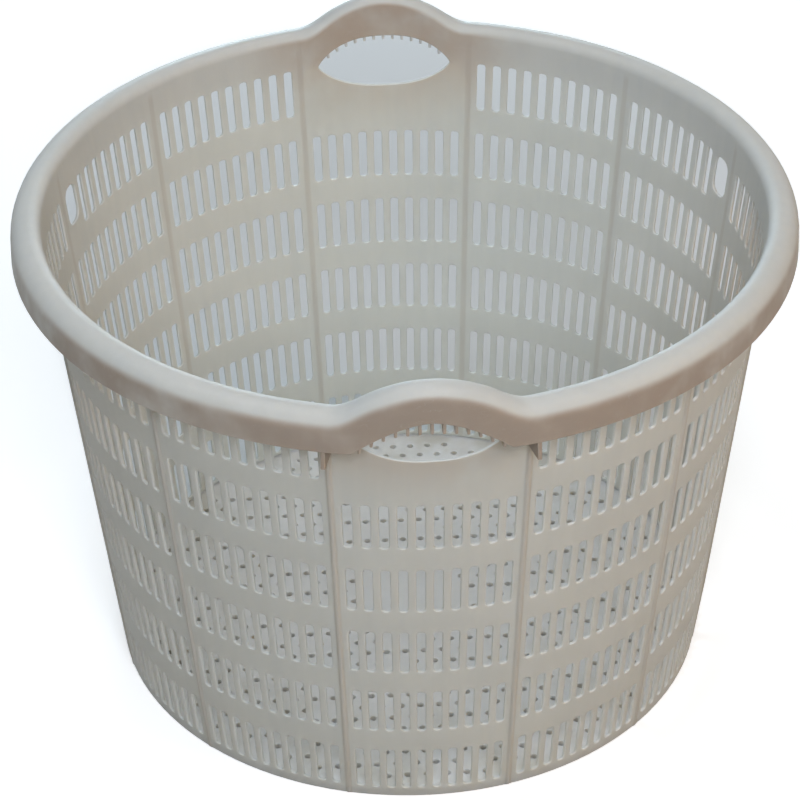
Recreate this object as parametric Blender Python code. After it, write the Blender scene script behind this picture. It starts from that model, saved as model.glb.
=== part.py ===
"""Round draining mould for cheese curd, in metres, standing on the plane z = 0.

The mould is one plastic moulding. It is modelled here as its members: a pierced floor, twelve slotted
wall panels with a rib over each pair of edges, four frames round the wide slots, a rolled lip in two arcs
and two arched handles.

Angles are in degrees about +Z. They start at the front handle, which faces -Y, and grow towards +X.
"""
from math import cos, degrees, floor, hypot, radians, sin

import bmesh
import bpy

# Overall sizes
MOUTH_DIAMETER = 0.410
BASE_DIAMETER = 0.348
RIM_HEIGHT = 0.290
WALL = 0.002
SEAM = 0.0003

# Wall panels and their slots
PANELS = 12
SLOTS_ACROSS = 10
SLOT_ANGLE = 1.45
SLOT_PITCH_ANGLE = 2.82
SLOT_HEIGHT = 0.030
HOOP_HEIGHT = 0.016
BASE_BAND = 0.006
SLOT_TOP_GAP = 0.002
WIDE_SLOT_HEIGHT = 0.023
WIDE_SLOT_SPAN = 2
FLAT_ANGLE = 0.02

# Panels of each half, counted from a handle, whose top row ends in a wide slot, and that end's side
WIDE_SLOT_ENDS = {2: 1, 4: -1}

# Outer ribs
RIB_WIDTH = 0.0025
RIB_DEPTH = 0.0022

# Rolled lip
RIM_OVERHANG = 0.015
SKIRT_HEIGHT = 0.021
SKIRT_LEAN = 0.04
RIM_OUTER_ROUND = 0.010
RIM_INNER_ROUND = 0.006
PANEL_TUCK = 0.004
ROUND_STEPS = 2
RIM_STEP_ANGLE = 7.5
SHARP_ANGLE = 50

# Handles
HANDLE_WIDTH = 0.094
HANDLE_RISE = 0.018
HANDLE_CURVE = 2.0
HANDLE_FOOT = 0.006
EYE_WIDTH = 0.082
EYE_LIFT = 0.017
EYE_DROP = 0.015
EYE_CURVE = 2.5
ARCH_WIDTH = 0.083
ARCH_LIFT = 0.019
ARCH_CURVE = 1.7
HANDLE_STEPS = 20
COMB_PITCH = 0.0062
COMB_TOOTH = 0.0022
COMB_HANG = 0.003
END_WEB = 0.0025
END_WEB_HANG = 0.011

# Floor
FLOOR_THICKNESS = 0.004
FLOOR_SIDES = 72
DRAIN_HOLE = 0.004
DRAIN_PITCH = 0.0112
DRAIN_ROW_PITCH = 0.010
DRAIN_EVERY = 4
DRAIN_MARGIN = 0.008
PLAIN_DISC = 0.062
HOLE_SIDES = 4

# Finish of each member: colour and roughness
FLOOR_FINISH = ((0.56, 0.57, 0.56), 0.45)
WALL_FINISH = ((0.60, 0.59, 0.55), 0.42)
RIB_FINISH = ((0.58, 0.56, 0.52), 0.42)
RIM_FINISH = ((0.66, 0.66, 0.63), 0.36)
HANDLE_FINISH = ((0.63, 0.61, 0.57), 0.36)

# Places that follow from the sizes above
PANEL_ANGLE = 360 / PANELS
HALF_PANEL = PANEL_ANGLE / 2
RIM_RADIUS = MOUTH_DIAMETER / 2 + RIM_OVERHANG
SKIRT_BOTTOM = RIM_HEIGHT - SKIRT_HEIGHT
SLOT_TOP = SKIRT_BOTTOM - SLOT_TOP_GAP
ROW_PITCH = SLOT_HEIGHT + HOOP_HEIGHT
SLOT_ROWS = floor((SLOT_TOP - BASE_BAND + HOOP_HEIGHT) / ROW_PITCH)
PANEL_TOP = SKIRT_BOTTOM + PANEL_TUCK
EYE_LEVEL = SLOT_TOP
SEAM_ANGLE = degrees(SEAM / (BASE_DIAMETER / 2))
PANEL_EDGE = HALF_PANEL - SEAM_ANGLE / 2
FRAME_EDGE = (SLOTS_ACROSS / 2 - WIDE_SLOT_SPAN) * SLOT_PITCH_ANGLE
FRAME_BOTTOM = SLOT_TOP - SLOT_HEIGHT - HOOP_HEIGHT / 2
HOLE_TOOL_DEPTH = 3 * FLOOR_THICKNESS
FRONT = 0
BACK = PANELS // 2


def wall_outside(height):
    """Radius of the wall's outer face: a cone from the base to the mouth."""
    slope = (MOUTH_DIAMETER - BASE_DIAMETER) / 2 / RIM_HEIGHT
    return BASE_DIAMETER / 2 + slope * height


def wall_inside(height):
    return wall_outside(height) - WALL


def skirt_outside(height):
    """Radius of the skirt's outer face, which leans in from its lower edge."""
    return RIM_RADIUS - SKIRT_LEAN * (height - SKIRT_BOTTOM)


HANDLE_HALF_ANGLE = degrees(HANDLE_WIDTH / 2 / RIM_RADIUS)
EYE_HALF_ANGLE = degrees(EYE_WIDTH / 2 / wall_outside(EYE_LEVEL))
ARCH_HALF_ANGLE = degrees(ARCH_WIDTH / 2 / RIM_RADIUS)
COMB_PITCH_ANGLE = degrees(COMB_PITCH / RIM_RADIUS)


def at(angle, radius, height, sideways=0.0):
    """Point at an angle, a radius and a height, moved sideways along the tangent."""
    turn = radians(angle)
    x = radius * sin(turn) + sideways * cos(turn)
    y = -radius * cos(turn) + sideways * sin(turn)
    return (x, y, height)


def bow(angle, half_angle, curve):
    """Height of an arch of unit rise: one at the middle, none at its ends and less past them."""
    return 1.0 - (abs(angle) / half_angle) ** curve


def eye_upper(angle):
    return EYE_LEVEL + EYE_LIFT * max(bow(angle, EYE_HALF_ANGLE, EYE_CURVE), 0.0)


def eye_lower(angle):
    return EYE_LEVEL - EYE_DROP * max(bow(angle, EYE_HALF_ANGLE, EYE_CURVE), 0.0)


def handle_crest(angle):
    """The lip's top rises over a handle as an arch, and a fillet eases it out of the lip at each foot."""
    rise = HANDLE_RISE * bow(angle, HANDLE_HALF_ANGLE, HANDLE_CURVE)
    nearness = max(1.0 - abs(rise) / HANDLE_FOOT, 0.0)
    return RIM_HEIGHT + max(rise, 0.0) + HANDLE_FOOT * nearness ** 2 / 4


def handle_skirt_edge(angle):
    return SKIRT_BOTTOM + ARCH_LIFT * max(bow(angle, ARCH_HALF_ANGLE, ARCH_CURVE), 0.0)


def plastic(name, finish):
    colour, roughness = finish
    material = bpy.data.materials.new(name)
    material.use_nodes = True
    shader = material.node_tree.nodes["Principled BSDF"]
    shader.inputs["Base Color"].default_value = (*colour, 1.0)
    shader.inputs["Roughness"].default_value = roughness
    shader.inputs["Metallic"].default_value = 0.0
    return material


def mesh_object(name, shape, material=None, turn=0.0):
    """Makes a named object of a bmesh, turned about the mould's axis."""
    bmesh.ops.recalc_face_normals(shape, faces=shape.faces)
    mesh = bpy.data.meshes.new(name)
    shape.to_mesh(mesh)
    shape.free()
    if material:
        mesh.materials.append(material)
    thing = bpy.data.objects.new(name, mesh)
    thing.rotation_euler.z = radians(turn)
    bpy.context.scene.collection.objects.link(thing)
    return thing


def hide_tool(thing):
    thing.hide_render = True
    thing.display_type = 'WIRE'


def combine(thing, tool, operation):
    change = thing.modifiers.new(tool.name, 'BOOLEAN')
    change.operation = operation
    change.solver = 'EXACT'
    change.object = tool
    hide_tool(tool)


def smooth(thing):
    thing.data.shade_smooth()
    thing.data.set_sharp_from_angle(angle=radians(SHARP_ANGLE))


def slot_box(row, slot):
    """A slot of a panel as (low angle, high angle, low height, high height), rows counted from the top."""
    middle = (slot - (SLOTS_ACROSS - 1) / 2) * SLOT_PITCH_ANGLE
    top = SLOT_TOP - row * ROW_PITCH
    return (middle - SLOT_ANGLE / 2, middle + SLOT_ANGLE / 2, top - SLOT_HEIGHT, top)


def wall_sheet(name, number, columns, heights, gaps, material, top=None):
    """A closed sheet on the wall's cone, without its gaps, which are boxes of angles and heights.

    columns and heights hold the sheet's edges. Where its upper edge isn't level, top gives it by the angle.
    """
    columns = set(columns)
    heights = set(heights)
    for low_angle, high_angle, low, high in gaps:
        columns.update((low_angle, high_angle))
        heights.update((low, high))
    columns = sorted(columns)
    heights = sorted(heights)

    def height_at(row, angle):
        if top and row == len(heights) - 1:
            return top(angle)
        return heights[row]

    def is_wall(column, row):
        if not (0 <= column < len(columns) - 1 and 0 <= row < len(heights) - 1):
            return False
        angle = (columns[column] + columns[column + 1]) / 2
        height = (heights[row] + heights[row + 1]) / 2
        return not any(box[0] < angle < box[1] and box[2] < height < box[3] for box in gaps)

    shape = bmesh.new()
    outer = {}
    inner = {}
    for column, angle in enumerate(columns):
        for row in range(len(heights)):
            height = height_at(row, angle)
            outer[column, row] = shape.verts.new(at(angle, wall_outside(height), height))
            inner[column, row] = shape.verts.new(at(angle, wall_inside(height), height))
    for column in range(len(columns) - 1):
        for row in range(len(heights) - 1):
            if not is_wall(column, row):
                continue
            corners = [(column, row), (column + 1, row), (column + 1, row + 1), (column, row + 1)]
            shape.faces.new([outer[corner] for corner in corners])
            shape.faces.new([inner[corner] for corner in reversed(corners)])
            neighbours = [(column, row - 1), (column + 1, row), (column, row + 1), (column - 1, row)]
            for side, neighbour in enumerate(neighbours):
                if not is_wall(*neighbour):
                    start = corners[side]
                    end = corners[(side + 1) % len(corners)]
                    shape.faces.new((outer[end], outer[start], inner[start], inner[end]))
    loose = [vert for vert in shape.verts if not vert.link_faces]
    bmesh.ops.delete(shape, geom=loose, context='VERTS')
    bmesh.ops.dissolve_limit(shape, angle_limit=radians(FLAT_ANGLE), verts=shape.verts, edges=shape.edges)
    return mesh_object(name, shape, material, turn=number * PANEL_ANGLE)


def frame_edges(end, gap):
    """Angles of a frame at a panel's end, +1 or -1, with a gap on the side of the panel."""
    return sorted((end * (FRAME_EDGE + gap), end * PANEL_EDGE))


def wall_panel(name, number, material):
    """A slotted stretch of the wall between two ribs, with room for the frame round a wide slot."""
    under_handle = number in (FRONT, BACK)
    first_row = 1 if under_handle else 0
    gaps = [slot_box(row, slot) for row in range(first_row, SLOT_ROWS) for slot in range(SLOTS_ACROSS)]
    end = WIDE_SLOT_ENDS.get(number % BACK)
    if end:
        gaps.append((*frame_edges(end, -SEAM_ANGLE / 2), FRAME_BOTTOM - SEAM / 2, PANEL_TOP))
    if not under_handle:
        return wall_sheet(name, number, (-PANEL_EDGE, PANEL_EDGE), (0.0, PANEL_TOP), gaps, material)
    columns = (-PANEL_EDGE, -EYE_HALF_ANGLE, EYE_HALF_ANGLE, PANEL_EDGE)
    return wall_sheet(name, number, columns, (0.0, EYE_LEVEL - SEAM / 2), gaps, material,
                      top=lambda angle: eye_lower(angle) - SEAM / 2)


def wide_slot_frame(name, number, end, material):
    """The corner of a panel where one wide, short slot takes the place of the top row's last ones."""
    first = SLOTS_ACROSS - WIDE_SLOT_SPAN if end > 0 else 0
    columns = frame_edges(end, SEAM_ANGLE / 2)
    for slot in range(first, first + WIDE_SLOT_SPAN):
        columns += slot_box(0, slot)[:2]
    wide_slot = (columns[2], columns[-1], SLOT_TOP - WIDE_SLOT_HEIGHT, SLOT_TOP)
    heights = (FRAME_BOTTOM + SEAM / 2, PANEL_TOP)
    return wall_sheet(name, number, columns, heights, [wide_slot], material)


def outer_rib(name, number, material):
    """A thin upright fin over the edges of two panels, stopping under the web where a handle ends."""
    beside_handle = number % BACK in (FRONT, BACK - 1)
    top = SKIRT_BOTTOM - END_WEB_HANG - SEAM if beside_handle else PANEL_TOP
    shape = bmesh.new()
    rings = []
    for height in (0.0, top):
        near = wall_outside(height) + SEAM
        outline = [(near, -1), (near + RIB_DEPTH, -1), (near + RIB_DEPTH, 1), (near, 1)]
        corners = [at(0, radius, height, side * RIB_WIDTH / 2) for radius, side in outline]
        rings.append([shape.verts.new(corner) for corner in corners])
    for ring in rings:
        shape.faces.new(ring)
    for corner in range(len(rings[0])):
        following = (corner + 1) % len(rings[0])
        shape.faces.new((rings[0][corner], rings[0][following], rings[1][following], rings[1][corner]))
    return mesh_object(name, shape, material, turn=(number + 0.5) * PANEL_ANGLE)


def arc_points(centre_radius, centre_height, size, start, end):
    points = []
    for step in range(ROUND_STEPS + 1):
        turn = radians(start + (end - start) * step / ROUND_STEPS)
        points.append((centre_radius + size * cos(turn), centre_height + size * sin(turn)))
    return points


def lip_skin(crest, wall_edge, skirt_edge, depth):
    """One skin of the lip in section, from the wall's edge over the crest to the skirt's edge.

    The skin lies a depth under the lip's outer face, so no depth gives that face itself.
    """
    room = skirt_outside(crest) - wall_inside(crest)
    fit = min(1.0, room / (RIM_OUTER_ROUND + RIM_INNER_ROUND))
    outer_round = RIM_OUTER_ROUND * fit
    inner_round = RIM_INNER_ROUND * fit
    outer_centre = skirt_outside(crest - outer_round) - outer_round
    inner_centre = wall_inside(crest - inner_round) + inner_round
    skin = [(wall_inside(wall_edge) + depth, wall_edge)]
    skin += arc_points(inner_centre, crest - inner_round, inner_round - depth, 180, 90)
    skin += arc_points(outer_centre, crest - outer_round, outer_round - depth, 90, 0)
    skin += [(skirt_outside(skirt_edge) - depth, skirt_edge)]
    return skin


def lip_body(angles, crest, wall_edge, skirt_edge):
    """Sweeps the lip's section round the mould, with its height and edges as functions of the angle."""
    shape = bmesh.new()
    sections = []
    for angle in angles:
        places = (crest(angle), wall_edge(angle), skirt_edge(angle))
        outside = [shape.verts.new(at(angle, *point)) for point in lip_skin(*places, 0.0)]
        inside = [shape.verts.new(at(angle, *point)) for point in lip_skin(*places, WALL)]
        sections.append(outside + inside[::-1])
    count = len(sections[0])
    for first, second in zip(sections, sections[1:]):
        for point in range(count):
            following = (point + 1) % count
            shape.faces.new((first[point], second[point], second[following], first[following]))
    for section in (sections[0], sections[-1]):
        for point in range(count // 2 - 1):
            last = count - 1 - point
            shape.faces.new((section[point], section[point + 1], section[last - 1], section[last]))
    return shape


def rim_arc(name, start, end, material):
    steps = round((end - start) / RIM_STEP_ANGLE)
    low = start + SEAM_ANGLE / 2
    high = end - SEAM_ANGLE / 2
    angles = [low + (high - low) * step / steps for step in range(steps + 1)]
    shape = lip_body(angles, crest=lambda angle: RIM_HEIGHT, wall_edge=lambda angle: PANEL_TOP + SEAM,
                     skirt_edge=lambda angle: SKIRT_BOTTOM)
    thing = mesh_object(name, shape, material)
    smooth(thing)
    return thing


def add_plate(shape, outline, angle, thickness):
    """Adds an upright radial plate to a bmesh, its outline given as radii and heights."""
    sides = []
    for side in (-1, 1):
        sides.append([shape.verts.new(at(angle, *point, side * thickness / 2)) for point in outline])
        shape.faces.new(sides[-1])
    for point in range(len(outline)):
        following = (point + 1) % len(outline)
        shape.faces.new((sides[0][point], sides[0][following], sides[1][following], sides[1][point]))


def comb_and_webs(name, turn):
    """The comb of thin plates inside a handle's arch, and the deeper web that closes each end."""
    shape = bmesh.new()
    teeth_each_side = floor(EYE_HALF_ANGLE / COMB_PITCH_ANGLE)
    for tooth in range(-teeth_each_side, teeth_each_side + 1):
        angle = tooth * COMB_PITCH_ANGLE
        low = eye_upper(angle) - COMB_HANG
        if low > EYE_LEVEL + SEAM:
            outline = lip_skin(handle_crest(angle), low, low, WALL / 2)
            add_plate(shape, outline, angle, COMB_TOOTH)
    low = SKIRT_BOTTOM - END_WEB_HANG
    web_angle = HALF_PANEL - degrees((END_WEB / 2 + SEAM) / wall_inside(low))
    shoulder = EYE_LEVEL + WALL / 2
    outline = lip_skin(handle_crest(web_angle), shoulder, low, WALL / 2)
    outline = [(wall_outside(height) + SEAM, height) for height in (low, shoulder)] + outline
    for side in (-1, 1):
        add_plate(shape, outline, side * web_angle, END_WEB)
    return mesh_object(name, shape, turn=turn)


def handle(name, number, material):
    """The lip's raised stretch over a finger opening, with its comb and end webs joined on."""
    turn = number * PANEL_ANGLE
    end = HALF_PANEL - SEAM_ANGLE / 2
    angles = {end * (2 * step / HANDLE_STEPS - 1) for step in range(HANDLE_STEPS + 1)}
    for kink in (EYE_HALF_ANGLE, ARCH_HALF_ANGLE):
        angles.update((-kink, kink))
    shape = lip_body(sorted(angles), crest=handle_crest,
                     wall_edge=lambda angle: eye_upper(angle) + SEAM / 2, skirt_edge=handle_skirt_edge)
    thing = mesh_object(name, shape, material, turn)
    smooth(thing)
    combine(thing, comb_and_webs(name + "_comb", turn), 'UNION')
    return thing


def drain_floor(name, material):
    """The base plate inside the wall's foot, pierced in staggered rows round a plain disc in the middle."""
    radius = wall_inside(0.0) - SEAM
    shape = bmesh.new()
    bmesh.ops.create_cone(shape, cap_ends=True, segments=FLOOR_SIDES, radius1=radius, radius2=radius,
                          depth=FLOOR_THICKNESS)
    bmesh.ops.translate(shape, verts=shape.verts, vec=(0, 0, FLOOR_THICKNESS / 2))
    plate = mesh_object(name, shape, material)
    pitch = DRAIN_PITCH * DRAIN_EVERY
    row_pitch = DRAIN_ROW_PITCH * DRAIN_EVERY
    reach = radius - DRAIN_MARGIN
    rows = floor(reach / row_pitch)
    columns = floor(reach / pitch)
    holes = bmesh.new()
    for row in range(-rows, rows + 1):
        for column in range(-columns - 1, columns + 1):
            x = (column + row % 2 / 2) * pitch
            y = row * row_pitch
            if not PLAIN_DISC / 2 < hypot(x, y) <= reach:
                continue
            hole = bmesh.ops.create_cone(holes, cap_ends=True, segments=HOLE_SIDES, radius1=DRAIN_HOLE / 2,
                                         radius2=DRAIN_HOLE / 2, depth=HOLE_TOOL_DEPTH)
            bmesh.ops.translate(holes, verts=hole["verts"], vec=(x, y, FLOOR_THICKNESS / 2))
    combine(plate, mesh_object(name + "_holes", holes), 'DIFFERENCE')
    return plate


def main():
    for thing in list(bpy.data.objects):
        bpy.data.objects.remove(thing, do_unlink=True)
    wall_plastic = plastic("wall_plastic", WALL_FINISH)
    rib_plastic = plastic("rib_plastic", RIB_FINISH)
    rim_plastic = plastic("rim_plastic", RIM_FINISH)
    handle_plastic = plastic("handle_plastic", HANDLE_FINISH)
    drain_floor("drain_floor", plastic("floor_plastic", FLOOR_FINISH))
    for number in range(PANELS):
        wall_panel(f"wall_panel_{number + 1:02d}", number, wall_plastic)
        outer_rib(f"outer_rib_{number + 1:02d}", number, rib_plastic)
    wide_ends = [(number, WIDE_SLOT_ENDS[number % BACK]) for number in range(PANELS)
                 if number % BACK in WIDE_SLOT_ENDS]
    for count, (number, end) in enumerate(wide_ends):
        wide_slot_frame(f"wide_slot_frame_{count + 1}", number, end, wall_plastic)
    rim_arc("rim_right", HALF_PANEL, 180 - HALF_PANEL, rim_plastic)
    rim_arc("rim_left", 180 + HALF_PANEL, 360 - HALF_PANEL, rim_plastic)
    handle("front_handle", FRONT, handle_plastic)
    handle("back_handle", BACK, handle_plastic)


main()
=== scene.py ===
# %% [markdown]
# # A draining mould for cheese curd
# Curd is ladled into this tub, and the whey runs out through its slotted wall and its pierced floor. The
# real mould is one thin shell of milky polyethylene, injected in a single shot. The construction model
# fixes the sizes. This lesson builds the finished skin around it, then the plastic that it is made of,
# and then the light.

# %% Load the construction model
from math import ceil, cos, degrees, hypot, pi, radians, sin

import bmesh
import bpy
from mathutils import Matrix, Vector
from mathutils.geometry import delaunay_2d_cdt
from numpy import interp


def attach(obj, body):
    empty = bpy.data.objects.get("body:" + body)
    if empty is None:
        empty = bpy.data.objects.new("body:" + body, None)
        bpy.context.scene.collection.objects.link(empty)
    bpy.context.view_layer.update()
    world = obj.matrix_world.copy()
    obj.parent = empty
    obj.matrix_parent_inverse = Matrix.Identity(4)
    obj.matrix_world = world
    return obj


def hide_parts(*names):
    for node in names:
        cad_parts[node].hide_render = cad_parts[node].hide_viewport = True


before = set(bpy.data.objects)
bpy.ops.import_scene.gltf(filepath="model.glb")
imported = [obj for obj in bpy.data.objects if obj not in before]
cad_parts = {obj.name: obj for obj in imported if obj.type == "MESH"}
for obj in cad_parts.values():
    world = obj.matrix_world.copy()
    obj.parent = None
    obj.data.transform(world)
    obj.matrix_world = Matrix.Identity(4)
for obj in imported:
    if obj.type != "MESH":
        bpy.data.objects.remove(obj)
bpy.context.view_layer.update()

# %% [markdown]
# ## Camera
# The picture looks down into the mould from the front with a long lens, so its verticals hardly converge.
# A camera can be dragged into place by eye, but here it is worked out: it turns round the mould, climbs
# above it, and is then aimed and rolled a little. Each of these is one number that can be checked.

# %% Camera
VIEW_AZIMUTH = -3.31
VIEW_ELEVATION = 34.87
VIEW_ROLL = -0.80
VIEW_DISTANCE = 1.76
VIEW_HEIGHT = 0.1447
AIM_RIGHT = -0.0039
AIM_UP = 0.0057
LENS = 135.3


def aim_camera():
    turn = radians(VIEW_AZIMUTH)
    climb = radians(VIEW_ELEVATION)
    centre = Vector((0, 0, VIEW_HEIGHT))
    back = Vector((sin(turn) * cos(climb), -cos(turn) * cos(climb), sin(climb)))
    right = Vector((cos(turn), sin(turn), 0))
    up = back.cross(right)
    eye = centre + VIEW_DISTANCE * back
    aim = centre + AIM_RIGHT * right + AIM_UP * up
    lens = bpy.data.cameras.new("camera")
    lens.lens = LENS
    camera = bpy.data.objects.new("camera", lens)
    looking = (aim - eye).to_track_quat('-Z', 'Y').to_matrix().to_4x4()
    camera.matrix_world = Matrix.Translation(eye) @ looking @ Matrix.Rotation(radians(VIEW_ROLL), 4, 'Z')
    bpy.context.scene.collection.objects.link(camera)
    bpy.context.scene.camera = camera
    return camera


print("camera at", [round(value, 3) for value in aim_camera().matrix_world.translation])

# %% [markdown]
# ## A skin of shared points
# A moulding has no joints, so its surface should be one closed skin in which neighbouring patches share
# their edge points. Cutting some seven hundred slots with Booleans would work, but it is slow and leaves
# ragged faces. Instead, each patch is written down point by point, and a point that two patches ask for
# under the same name is made only once.

# %% A skin of shared points
class Skin:
    """Points and faces of one mesh."""

    def __init__(self):
        self.points = []
        self.faces = []
        self.named = {}

    def point(self, place, name=None):
        if name in self.named:
            return self.named[name]
        self.points.append(place)
        if name:
            self.named[name] = len(self.points) - 1
        return len(self.points) - 1

    def face(self, corners):
        self.faces.append(tuple(corners))

    def band(self, first, second, closed=False):
        """Joins two rows of points with four-sided faces."""
        count = len(first)
        for place in range(count if closed else count - 1):
            following = (place + 1) % count
            self.face((first[place], first[following], second[following], second[place]))


def around(angle, radius, height):
    """A point at an angle from the front, a distance from the mould's axis and a height."""
    turn = radians(angle)
    return (radius * sin(turn), -radius * cos(turn), height)


def make_piece(name, skin):
    """Turns a skin into a smooth object that belongs to the mould."""
    mesh = bpy.data.meshes.new(name)
    mesh.from_pydata(skin.points, [], skin.faces)
    shape = bmesh.new()
    shape.from_mesh(mesh)
    bmesh.ops.recalc_face_normals(shape, faces=shape.faces)
    open_edges = sum(not edge.is_manifold for edge in shape.edges)
    shape.to_mesh(mesh)
    shape.free()
    mesh.shade_smooth()
    piece = bpy.data.objects.new(name, mesh)
    bpy.context.scene.collection.objects.link(piece)
    piece.modifiers.new("even_shading", 'WEIGHTED_NORMAL')
    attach(piece, "root")
    print(name, len(mesh.polygons), "faces,", open_edges, "open edges")
    return piece


# %% [markdown]
# ## Sizes of the wall
# The wall is a cone that opens upwards, so that the drained cheese slides out. Twelve panels of ten slots
# in six rows go round it, and a thin rib stands on the plain strip between two panels. The sizes are
# those of the construction model, in metres and degrees. The ribs are lower and rounder here, and fade at
# the foot, because a real moulding blends a rib into its wall.

# %% Sizes of the wall
MOUTH_RADIUS = 0.205
BASE_RADIUS = 0.174
RIM_HEIGHT = 0.290
WALL = 0.002
PANELS = 12
PANEL_ANGLE = 360 / PANELS
SLOTS_ACROSS = 10
SLOT_PITCH = 2.82
SLOT_HALF_ANGLE = 0.725
SLOT_HEIGHT = 0.030
HOOP_HEIGHT = 0.016
SLOT_TOP = 0.267
SLOT_ROWS = 6
FOOT_ROUND = 0.0007
OUTER = "outer"
INNER = "inner"

# The rib's half section: distance from its middle and height above the wall
RIB_SECTION = ((0.0005, 0.0012), (0.0010, 0.00095), (0.0014, 0.0005), (0.0018, 0.00015), (0.0024, 0.0))
RIB_FOOT_SHARE = 0.3
SINK_SHARE = 0.06


def wall_outside(height):
    return BASE_RADIUS + (MOUTH_RADIUS - BASE_RADIUS) * height / RIM_HEIGHT


def wall_inside(height):
    return wall_outside(height) - WALL


def rib_height(angle):
    """Height of the nearest rib above the wall, which is nothing beyond its foot."""
    distance = radians(abs(angle % PANEL_ANGLE - PANEL_ANGLE / 2)) * MOUTH_RADIUS
    return float(interp(distance, *zip(*RIB_SECTION)))


def wall_point(skin, face, angle, height):
    """A point of the wall. Thick plastic shrinks as it cools, so the inside dips a little behind a rib."""
    if face == OUTER:
        share = RIB_FOOT_SHARE if height <= FOOT_ROUND else 1.0
        radius = wall_outside(height) + share * rib_height(angle)
    else:
        radius = wall_inside(height) + SINK_SHARE * rib_height(angle)
    name = (face, round(angle, 3) % 360, round(height, 6))
    return skin.point(around(angle, radius, height), name)


def panel_columns(number):
    middle = number * PANEL_ANGLE
    return [middle + (step - SLOTS_ACROSS / 2) * SLOT_PITCH for step in range(SLOTS_ACROSS + 1)]


def rib_columns(number):
    """Angles across the rib that follows a panel."""
    middle = (number + 0.5) * PANEL_ANGLE
    steps = [degrees(distance / MOUTH_RADIUS) for distance, _ in RIB_SECTION]
    return [middle - step for step in reversed(steps)] + [middle + step for step in steps]


def slot_top(row):
    return SLOT_TOP - row * (SLOT_HEIGHT + HOOP_HEIGHT)


LEVELS = [FOOT_ROUND] + [slot_top(row) + HOOP_HEIGHT / 2 for row in range(SLOT_ROWS - 1, 0, -1)]
print("hoops at", [round(level, 3) for level in LEVELS])

# %% [markdown]
# ## Slots with soft edges
# Each slot was left by a tooth of the steel mould. The tooth tapers a little so that it pulls out, and
# its corners are round. One slot is a stack of rings through the wall: the first and the last ring are
# wider, which rounds the edges. The plate around the slot is four faces between its outline and the
# corners of its cell.

# %% Slots with soft edges
SLOT_CORNER = 0.0015
EDGE = 0.0005
DRAFT = 0.0002
EASED = 0.3

# How much each ring widens the slot, and how deep under the outer face it lies
SLOT_RINGS = (
    (DRAFT + EDGE, 0.0),
    (DRAFT + EASED * EDGE, EASED * EDGE),
    (DRAFT, EDGE),
    (0.0, WALL - EDGE),
    (EASED * EDGE, WALL - EASED * EDGE),
    (EDGE, WALL),
)
CORNER_SIDES = ((-1, -1), (1, -1), (1, 1), (-1, 1))


class Slot:
    """A round-cornered slot: its middle angle, half its width in degrees, its heights and its corners."""

    def __init__(self, middle, half_angle, bottom, top, corner, corner_points=3):
        self.middle = middle
        self.half_angle = half_angle
        self.bottom = bottom
        self.top = top
        self.corner = corner
        self.corner_points = corner_points

    def ring(self, skin, grow, depth):
        level = (self.bottom + self.top) / 2
        reach = wall_outside(level)
        corner = self.corner + grow
        across = radians(self.half_angle) * reach + grow - corner
        upward = (self.top - self.bottom) / 2 + grow - corner
        points = []
        for number, (right, up) in enumerate(CORNER_SIDES):
            for step in range(self.corner_points):
                turn = radians(180 + 90 * (number + step / (self.corner_points - 1)))
                sideways = right * across + corner * cos(turn)
                height = level + up * upward + corner * sin(turn)
                angle = self.middle + degrees(sideways / reach)
                points.append(skin.point(around(angle, wall_outside(height) - depth, height)))
        return points


def surround(skin, low, high, ring, corner_points, turned):
    """Four faces between a slot's ring and its cell, whose lower and upper edges run from left to right."""
    middle = corner_points // 2
    sides = [low, [low[-1], high[-1]], high[::-1], [high[0], low[0]]]
    for number, side in enumerate(sides):
        start = (number + 1) * corner_points + middle
        end = number * corner_points + middle
        inner_edge = [ring[place % len(ring)] for place in range(start, end - 1, -1)]
        corners = side + inner_edge
        skin.face(corners[::-1] if turned else corners)


def pierce(skin, slot, low, high):
    """Makes a slot and the plate around it. low and high are the cell's edge points as angles and heights."""
    rings = [slot.ring(skin, grow, depth) for grow, depth in SLOT_RINGS]
    for first, second in zip(rings, rings[1:]):
        skin.band(first, second, closed=True)
    for face, ring in ((OUTER, rings[0]), (INNER, rings[-1])):
        low_points = [wall_point(skin, face, *place) for place in low]
        high_points = [wall_point(skin, face, *place) for place in high]
        surround(skin, low_points, high_points, ring, slot.corner_points, face == INNER)


# %% [markdown]
# ## The rolled lip and the handles
# The wall turns outwards at the top and hangs down again as a skirt. This stiffens the mouth, and it
# gives the fingers a smooth edge. At the front and the back the lip rises into an arch over a lens-shaped
# finger opening. The lip is one section swept round the mould, and the section's height is a function of
# the angle, so the handles grow out of the lip with no seam.

# %% The rolled lip and the handles
RIM_RADIUS = 0.220
SKIRT_BOTTOM = 0.269
SKIRT_LEAN = 0.04
INNER_ROUND = 0.006
OUTER_ROUND = 0.010
SKIRT_EDGE_ROUND = 0.0008
INNER_STEPS = 5
OUTER_STEPS = 6
HANDLE_HALF = degrees(0.047 / RIM_RADIUS)
HANDLE_RISE = 0.018
HANDLE_FOOT = 0.006
ARCH_HALF = degrees(0.0415 / RIM_RADIUS)
ARCH_LIFT = 0.019
ARCH_CURVE = 1.7


def from_handle(angle):
    """Angle from the nearer handle's middle."""
    return (angle + 90) % 180 - 90


def crest(angle):
    rise = HANDLE_RISE * (1 - (from_handle(angle) / HANDLE_HALF) ** 2)
    nearness = max(1 - abs(rise) / HANDLE_FOOT, 0)
    return RIM_HEIGHT + max(rise, 0) + HANDLE_FOOT * nearness ** 2 / 4


def skirt_edge(angle):
    return SKIRT_BOTTOM + ARCH_LIFT * max(1 - (abs(from_handle(angle)) / ARCH_HALF) ** ARCH_CURVE, 0)


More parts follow.
